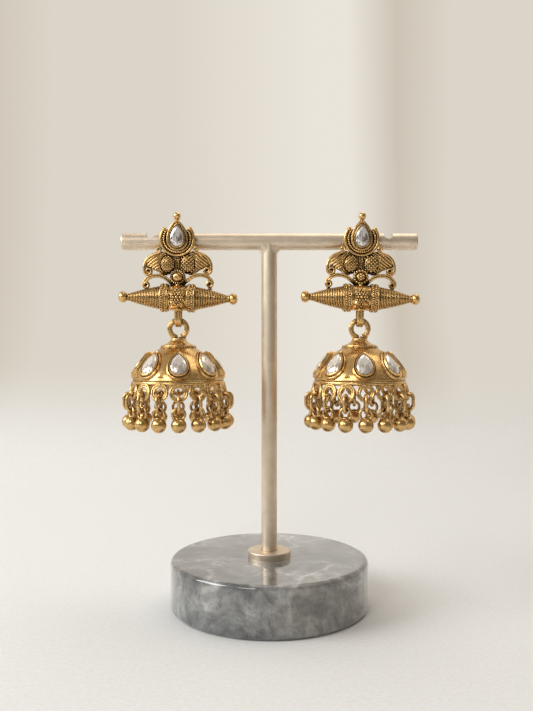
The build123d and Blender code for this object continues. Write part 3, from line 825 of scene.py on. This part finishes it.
def drum_relief(shape, z):
    """The ornament round the drum's front: a granulated lozenge with three leaves at each corner."""

    def on_drum(across, up, radius):
        a = up / DRUM_R
        ball(shape, (across, -DRUM_R * cos(a), z + DRUM_R * sin(a)), radius, 7, 10)

    on_drum(0, 0, 0.55)
    for x, y in circle(6):
        on_drum(0.95 * x, 0.95 * y, 0.42)
    for row in range(-5, 6):
        for column in range(-3, 4):
            across = column * 0.8 + (0.4 if row % 2 else 0)
            up = row * 0.7
            lozenge = abs(across) / 1.9 + abs(up) / 3.6
            if lozenge <= 1.05 and hypot(across, up) >= 1.35:
                on_drum(across, up, 0.37)
    # each leaf: across, up round the drum, length, width, angle
    leaves = ((1.6, 1.55, 2.0, 0.95, 50), (1.75, 2.9, 1.7, 0.8, 20), (2.2, 0.55, 1.1, 0.6, 80))
    for upward in (-1, 1):
        for hand in (-1, 1):
            for across, up, length, width, angle in leaves:
                a = upward * up / 3.72
                at = (hand * across, -3.66 * cos(a), z + 3.66 * sin(a))
                place = Matrix.Translation(at) @ Matrix.Rotation(-a, 4, "X")
                leaf(shape, (0, 0, 0), length, width, hand * upward * angle, 0.5, place)


def hanging_loop(shape):
    """The strap under the drum: a grooved band bent round the bell's ring."""
    reach = RING_WIRE_R + LOOP_GAP + 0.625
    heights = (3.75, 2.5, 1.2, 0.0)
    path = [(0, reach, z) for z in heights]
    path += [(0, reach * y, reach * z) for y, z in swing(-15, -180, -15)]
    path += [(0, -reach, z) for z in reversed(heights)]
    for x in (-0.5, 0.5):
        tube(shape, [(x, y, z) for _, y, z in path], 0.52, SIDEWARD, 12)
    tube(shape, path, 0.46, SIDEWARD, 10)
    for y in (-1, 1):
        ball(shape, (0, y * reach, 3.1), 1.1, 8, 16, (1.15, 0.85, 0.6))


def neck(shape):
    """The plates between the crescent and the drum, and the rows of granules on the upper one."""
    upper = [(-3.4, 20.0), (3.4, 20.0), (2.2, 17.0), (1.6, 14.0)]
    upper += [(1.9, 12.0), (-1.9, 12.0), (-1.6, 14.0), (-2.2, 17.0)]
    slab(shape, upper, BACK["neck"], FACE + 0.2, 0.05)
    slab(shape, [(-2.1, 11.5), (2.1, 11.5), (2.1, 8.5), (-2.1, 8.5)], BACK["waist"], FACE - 0.2, 0.05)
    for row in range(7):
        for x in (-0.45, 0.0, 0.45) if row > 3 else (-0.24, 0.24):
            ball(shape, (x, FACE - 0.05, 15.4 + 0.5 * row), 0.25, 6, 8)


def top(side):
    """The gold of one top, and its stone."""
    shape = Shape()
    stone_low, stone_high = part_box(side + "_top_stone")
    middle = (stone_low + stone_high) / 2 / MM - hang[side]
    lean = Matrix.Rotation(atan2(middle.x, middle.z), 4, "Y")
    stone_z = hypot(middle.x, middle.z)
    crescent(shape)
    stone_setting(shape, stone_z, TOP_STONE_W - 0.1, TOP_STONE_H - 0.1)
    neck(shape)
    bird(shape, 1, fine=False, pierced=False)
    bird(shape, -1, fine=True, pierced=side == "right")
    for hand in (-1, 1):
        s_scroll(shape, hand)
    rosette(shape, side)
    barrel = Shape()
    spindle(barrel)
    skew = Matrix.Translation((0, 0, SPINDLE_Z)) @ Matrix.Rotation(radians(SKEW[side]), 4, "Y")
    skew = skew @ Matrix.Translation((0, 0, -SPINDLE_Z))
    shape.add(barrel.points, barrel.faces, skew)
    hanging_loop(shape)
    shape.move(lean)
    shape.build(side + "_top_gold", hang[side], gold, "stand_and_tops", "antique_gold", [side + "_top"])
    stone = Shape()
    faceted_stone(stone, TOP_STONE_W - 0.08, TOP_STONE_H - 0.08, 1.3, 0.7, 24)
    stone.move(lean @ front(0, FACE - 0.06, stone_z))
    name, replaced = side + "_top_crystal", [side + "_top_stone"]
    stone.build(name, hang[side], clear_stone, "stand_and_tops", "crystal", replaced, flat=True)


# -------- the bell
# Profiles are (radius, height) pairs, and angles round the bell are degrees from its front.
CAP = [(0.01, -5.15), (1.7, -5.2), (2.15, -5.4), (2.3, -5.8), (2.6, -6.25), (3.25, -6.75)]
CAP += [(4.2, -7.15), (4.95, -7.36), (5.14, -7.48), (5.18, -7.62), (5.1, -7.78)]
DOME = [(5.15, -8.1), (8.35, -10.3), (11.0, -13.25), (12.45, -15.4), (13.1, -17.2)]
LIP = [(13.24, -17.2), (13.3, -17.3), (13.24, -17.42), (12.95, -17.5)]
HOLLOW = [(12.4, -18.7), (11.65, -15.65), (10.3, -13.65), (7.6, -10.95), (3.5, -9.1), (0.01, -8.65)]
RIM_R, RIM_Z = 13.05, -18.12
RIM_WIDE, RIM_TALL = 0.5, 0.62
RING_R = 2.5

STONES = 8
STONE_W, STONE_H = 4.8, 7.1
SEAT_R, SEAT_Z = 10.35, -13.35
SEAT_LEAN = 36.0

DROPS = 16
LOOPS_R, LOOPS_Z = 13.8, -20.65
LOOPS_LEAN = 12
FRINGE_R = 14.3
LINK_BEND = 1.53
LINK_STRAIGHT = 1.67
LINK_TOP = -22.84
BEAD_LOOP_Z = -26.55
BEAD_Z = -29.6
BEAD_R = 2.14


def faceted_stone(shape, width, height, girdle, crown, count):
    """A flat-backed pear stone: straight girdle, two rings of crown facets and a table."""
    outline = pear(width, height, count)
    half = [((a[0] + b[0]) / 2, (a[1] + b[1]) / 2) for a, b in zip(outline, outline[1:] + outline[:1])]
    n = len(outline)
    levels = [(outline, 0.97, 0.0), (outline, 1.0, 0.1), (outline, 1.0, girdle)]
    levels += [(half, 0.86, girdle + crown * 0.55), (outline, 0.6, girdle + crown)]
    points, faces = [], []
    for ring_points, share, up in levels:
        points += [(x * share, y * share, up) for x, y in ring_points]
    for i in range(n):
        j = (i + 1) % n
        faces += [[i, j, n + j, n + i], [n + i, n + j, 2 * n + j, 2 * n + i]]
        faces += [[2 * n + i, 2 * n + j, 3 * n + i], [3 * n + i, 2 * n + j, 3 * n + j]]
        faces += [[3 * n + i, 4 * n + j, 4 * n + i], [3 * n + i, 3 * n + j, 4 * n + j]]
    faces.append(list(range(n))[::-1])
    faces.append([4 * n + i for i in range(n)])
    shape.add(points, faces)


def outward(angle, radius, z, lean=0.0):
    """A place at an angle round the bell: x along the rim, y up, z out of the bell, looking up by lean."""
    a, b = radians(angle), radians(lean)
    out = Vector((cos(b) * sin(a), -cos(b) * cos(a), sin(b)))
    along = Vector((cos(a), sin(a), 0))
    up = out.cross(along)
    at = (radius * sin(a), -radius * cos(a), z)
    rows = [[along[i], up[i], out[i], at[i]] for i in range(3)]
    return Matrix(rows + [[0, 0, 0, 1]])


def seat(i):
    """The place of one of the dome's stones."""
    return outward(360 * i / STONES, SEAT_R, SEAT_Z, SEAT_LEAN)


def ring_wire(shape, place, bend, radius, steps, sides):
    tube(shape, [(bend * x, bend * y, 0) for x, y in circle(steps)], radius, (0, 0, 1), sides, True, place)


def dome_at(share):
    """The radius and height of the dome's outside, from its cap (0) to its rim (1)."""
    line = smooth_profile(DOME, 12)
    return line[round(share * (len(line) - 1))]


def bell_shell(shape):
    """Cap, dome, lip, rim and hollow, turned in one."""
    rim = [(RIM_R + RIM_WIDE * x, RIM_Z + RIM_TALL * z) for x, z in swing(100, -120, -20)]
    lathe(shape, CAP + smooth_profile(DOME, 10) + LIP + rim + smooth_profile(HOLLOW, 5), 144)


def bell_ring(shape):
    """The ring: two wires side by side over a core, with their ends spread on the neck."""
    around = [(RING_R * x, 0, RING_R * (z - 1)) for x, z in swing(254, -75, -8)]
    foot, heel = (1.25, 0, -5.02), (1.95, 0, -5.5)
    path = smooth_line(handed([heel, foot], -1) + around + [foot, heel], 3)
    for offset, thick in ((0.36, 0.4), (-0.36, 0.4), (0.0, 0.46)):
        tube(shape, beside(path, offset), thick, FRONTWARD, 12)


def cap_studs(shape):
    """The grains round the foot of the ring, and the long ones round the cap's edge."""
    for k, (x, y) in enumerate(circle(11, 0.3)):
        ball(shape, (1.85 * x, 1.85 * y, -5.62 - 0.12 * (k % 3)), 0.5, 7, 10, (1, 1, 0.8))
    for k in range(16):
        place = outward(360 * (k + 0.5) / 16, 5.12, -7.95)
        ball(shape, (0, 0, 0), 0.22, 6, 12, (3.2, 1.0, 1.0), place=place)


def collets(shape):
    """The double-walled pear settings of the dome, each with a floor under its stone."""
    lip = [(0.0, 0.2), (0.02, 1.42), (0.12, 1.56), (0.3, 1.52), (0.4, 1.3), (0.42, 0.2)]
    wall = [(0.3, -0.75), (0.42, 0.62), (0.52, 0.9), (0.72, 1.0), (0.92, 0.86), (0.97, 0.6), (1.0, -0.75)]
    floor = pear(STONE_W + 0.2, STONE_H + 0.25, 40)
    for i in range(STONES):
        pear_ring(shape, seat(i), STONE_W + 0.03, STONE_H + 0.05, lip, 54)
        pear_ring(shape, seat(i), STONE_W + 0.03, STONE_H + 0.05, wall, 54)
        shape.grid([[(x, y, up) for x, y in floor] for up in (-0.5, 0.33)], place=seat(i))


def dome_granules(shape):
    """Granulated triangles between the stones, near the rim."""
    for i in range(STONES):
        for row in range(4):
            r, z = dome_at(0.9 - 0.055 * row)
            for k in range(4 - row):
                angle = 360 * (i + 0.5) / STONES + (k - (3 - row) / 2) * 2.1
                ball(shape, (0, 0, 0.02), 0.2, 5, 8, place=outward(angle, r, z, 25))


def fixed_loops(shape):
    """The fringe's soldered loops: two wires over a core, with a bead on top."""
    for i in range(DROPS):
        place = outward(360 * i / DROPS, LOOPS_R, LOOPS_Z, LOOPS_LEAN)
        ring_wire(shape, place, 2.3, 0.34, 44, 12)
        ring_wire(shape, place, 1.68, 0.28, 40, 12)
        ring_wire(shape, place, 1.98, 0.24, 40, 8)
        ball(shape, (0, 2.2, 0), 0.5, 7, 12, (1.2, 0.8, 0.9), place=place)


def bell(side, turn):
    shape = Shape()
    bell_shell(shape)
    bell_ring(shape)
    cap_studs(shape)
    collets(shape)
    dome_granules(shape)
    fixed_loops(shape)
    shape.move(turn)
    shape.build(side + "_bell_gold", hang[side], gold, side + "_bell", "antique_gold", [side + "_bell"])


def bell_stones(side, turn):
    for i in range(STONES):
        shape = Shape()
        faceted_stone(shape, STONE_W, STONE_H, 0.9, 0.62, 18)
        shape.move(turn @ seat(i) @ Matrix.Translation((0, 0, 0.41)))
        name, replaced = f"{side}_bell_crystal_{i + 1}", [f"{side}_bell_stone_{i + 1}"]
        shape.build(name, hang[side], pearly_stone, side + "_bell", "crystal", replaced, flat=True)


def link_path():
    """The middle of a link's wire: two bends joined by straight sides."""
    path = [(0, LINK_TOP + LINK_BEND * y, LINK_BEND * z) for z, y in swing(0, 181, 12)]
    path += [(0, LINK_TOP - LINK_STRAIGHT + LINK_BEND * y, LINK_BEND * z) for z, y in swing(180, 361, 12)]
    return even(path, 0.35, True)


def fringe(side, turn):
    """The loose links and beads that hang from the fixed loops."""
    links, beads = Shape(), Shape()
    for i in range(DROPS):
        angle = 360 * i / DROPS
        place = outward(angle, FRINGE_R, 0)
        tube(links, link_path(), 0.48, SIDEWARD, 12, True, place)
        ring_wire(beads, outward(angle, FRINGE_R, BEAD_LOOP_Z), 1.66, 0.44, 36, 12)
        ball(beads, (0, BEAD_Z, 0), BEAD_R, 18, 30, place=place)
        ball(beads, (0, -27.75, 0), 0.95, 8, 16, (1.15, 0.55, 1.0), place=place)
    for shape, kind, finish in ((links, "links", gold), (beads, "beads", bead_gold)):
        shape.move(turn)
        name, replaced = f"{side}_{kind}_gold", [f"{side}_fringe_{kind}"]
        shape.build(name, hang[side], finish, side + "_bell", "antique_gold", replaced)


for side in SIDES:
    low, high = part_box(side + "_bell_stone_1")
    first_stone = (low + high) / 2 / MM - hang[side]
    turn = Matrix.Rotation(atan2(first_stone.x, -first_stone.y), 4, "Z")
    top(side)
    bell(side, turn)
    bell_stones(side, turn)
    fringe(side, turn)

# -------- backdrop, light and camera, in metres
SHEET_REACH = 5.0  # how far the sheet goes to both sides and to the front
SHEET_TOP = 1.6
BEHIND = 0.36  # where the sheet stands upright
RISE = 0.16  # the radius of its sweep
SHEET_COLUMNS = (-SHEET_REACH, -0.5, 0.0, 0.5, SHEET_REACH)
LINEN = ((0.78, 0.77, 0.752), (0.835, 0.83, 0.815))
# painted light and shade: the folds' shaded, plain and lit colours come from the sheet's own glow, not from
# lamps
FOLD_SHADE, FOLD_PLAIN, FOLD_LIT = (0.61, 0.55, 0.465), (0.71, 0.66, 0.58), (0.82, 0.775, 0.705)
FOLDS_FROM, FOLDS_TO = -0.22, 0.25  # the backdrop's folds, across
FOLDS = [(0.02, FOLD_SHADE), (0.14, FOLD_PLAIN), (0.34, FOLD_PLAIN), (0.58, FOLD_LIT)]
FOLDS += [(0.635, FOLD_LIT), (0.71, FOLD_SHADE), (0.8, FOLD_PLAIN), (1.0, FOLD_PLAIN)]
FOLD_SWAY = 0.03
ROOM_TINT = (1.0, 0.905, 0.79)
ROOM_STRENGTH = 0.42
# name, place, aim, size, watts, colour
LAMPS = (
    ("key", (-1.14, -0.31, 0.71), (0, 0, 0.06), (0.85, 0.70), 13.0, (0.93, 0.975, 1.0)),
    ("front", (-0.28, -0.55, 0.42), (0, 0, 0.08), (0.22, 0.22), 0.85, (1.0, 0.98, 0.95)),
    ("top", (0.12, 0.14, 0.60), (0.02, 0, 0.05), (0.50, 0.35), 1.0, (1.0, 0.94, 0.86)),
)
CAMERA_AT = (-0.00084, -0.228, 0.0771)
CAMERA_DIP = 0.565  # degrees below level
LENS_MM, SENSOR_MM = 38.5, 36.0
NEAREST_SEEN = 0.01


def pale_linen():
    """The sheet's cloth.  Its upright part glows with the painted light and shade of soft hanging folds."""
    material, paint, shader = new_material("pale_linen")
    coords = paint.coordinates()
    weave = paint.noise(coords, scale=900, detail=2)
    linen = paint.ramp(weave, (0.3, LINEN[0]), (0.7, LINEN[1]))
    paint.give(shader, {"Base Color": linen, "Roughness": 0.9, "Specular IOR Level": 0.15})
    paint.bump(shader, weave, 0.2, 0.2)
    place = paint.node("SeparateXYZ", {"Vector": coords})
    drift = paint.noise(paint.mapping(coords, (1.0, 0.0, 0.3)), scale=7, detail=1, rough=0.4)
    across = paint.spread(paint.maths("MULTIPLY_ADD", drift, FOLD_SWAY, place["X"]), FOLDS_FROM, FOLDS_TO)
    painted_fold_glow = paint.node("Emission", {"Color": paint.ramp(across, *FOLDS)})["Emission"]
    # only camera, glossy and transmission rays see the folds, so they light nothing
    rays = paint.node("LightPath", {})
    seen = paint.maths("MAXIMUM", rays["Is Camera Ray"], rays["Is Glossy Ray"])
    seen = paint.maths("MAXIMUM", seen, rays["Is Transmission Ray"])
    share = paint.maths("MULTIPLY", paint.spread(place["Z"], 0.0, 0.07, kind="SMOOTHSTEP"), seen)
    blend = paint.node("MixShader", {"Fac": share, 1: shader.outputs["BSDF"], 2: painted_fold_glow})["Shader"]
    paint.give(paint.nodes["Material Output"], {"Surface": blend})
    return material


def sweep_floor():
    """A seamless pale sheet: level under the stand, curving up behind it."""
    profile = [(-SHEET_REACH, 0.0), (-0.3, 0.0), (BEHIND - RISE, 0.0)]
    for k in range(1, 13):
        a = radians(90 * k / 12)
        profile.append((BEHIND - RISE + RISE * sin(a), RISE * (1 - cos(a))))
    profile.append((BEHIND, SHEET_TOP))
    width = len(SHEET_COLUMNS)
    points = [(x, y, z) for y, z in profile for x in SHEET_COLUMNS]
    faces = []
    for i in range(len(profile) - 1):
        for j in range(width - 1):
            corner = i * width + j
            faces.append([corner, corner + 1, corner + width + 1, corner + width])
    mesh = bpy.data.meshes.new("sweep")
    mesh.from_pydata(points, [], faces)
    mesh.update()
    for polygon in mesh.polygons:
        polygon.use_smooth = True
    obj = bpy.data.objects.new("sweep", mesh)
    bpy.context.scene.collection.objects.link(obj)
    mesh.materials.append(pale_linen())


def lamp(name, at, aim, size, watts, colour):
    light = bpy.data.lights.new(name, "AREA")
    light.shape = "RECTANGLE"
    light.size, light.size_y = size
    light.energy = watts
    light.color = colour
    obj = bpy.data.objects.new(name, light)
    obj.location = at
    obj.rotation_euler = (Vector(aim) - Vector(at)).to_track_quat("-Z", "Y").to_euler()
    bpy.context.scene.collection.objects.link(obj)


def world_light():
    """Soft room light: brighter overhead, behind and at the left, darker where the earrings face."""
    world = bpy.data.worlds.new("room")
    bpy.context.scene.world = world
    world.use_nodes = True
    paint = Paint(world.node_tree)
    direction = paint.node("SeparateXYZ", {"Vector": paint.coordinates("Generated")})
    up = paint.ramp(direction["Z"], (0.0, 0.42), (0.35, 0.78), (1.0, 1.0))
    behind = paint.spread(direction["Y"], -1.0, 0.2, 0.55, 1.0)
    left = paint.spread(direction["X"], -1.0, 1.0, 1.15, 1.0)
    colour = paint.times(paint.times(paint.times(up, behind), left), ROOM_TINT)
    paint.give(paint.nodes["Background"], {"Color": colour, "Strength": ROOM_STRENGTH})


sweep_floor()
world_light()
for row in LAMPS:
    lamp(*row)

camera_data = bpy.data.cameras.new("camera")
camera_data.lens = LENS_MM
camera_data.sensor_width = SENSOR_MM
camera_data.clip_start = NEAREST_SEEN
camera = bpy.data.objects.new("camera", camera_data)
camera.location = CAMERA_AT
camera.rotation_euler = (radians(90 - CAMERA_DIP), 0, 0)
bpy.context.scene.collection.objects.link(camera)
bpy.context.scene.camera = camera
bpy.context.scene.view_settings.view_transform = "Standard"
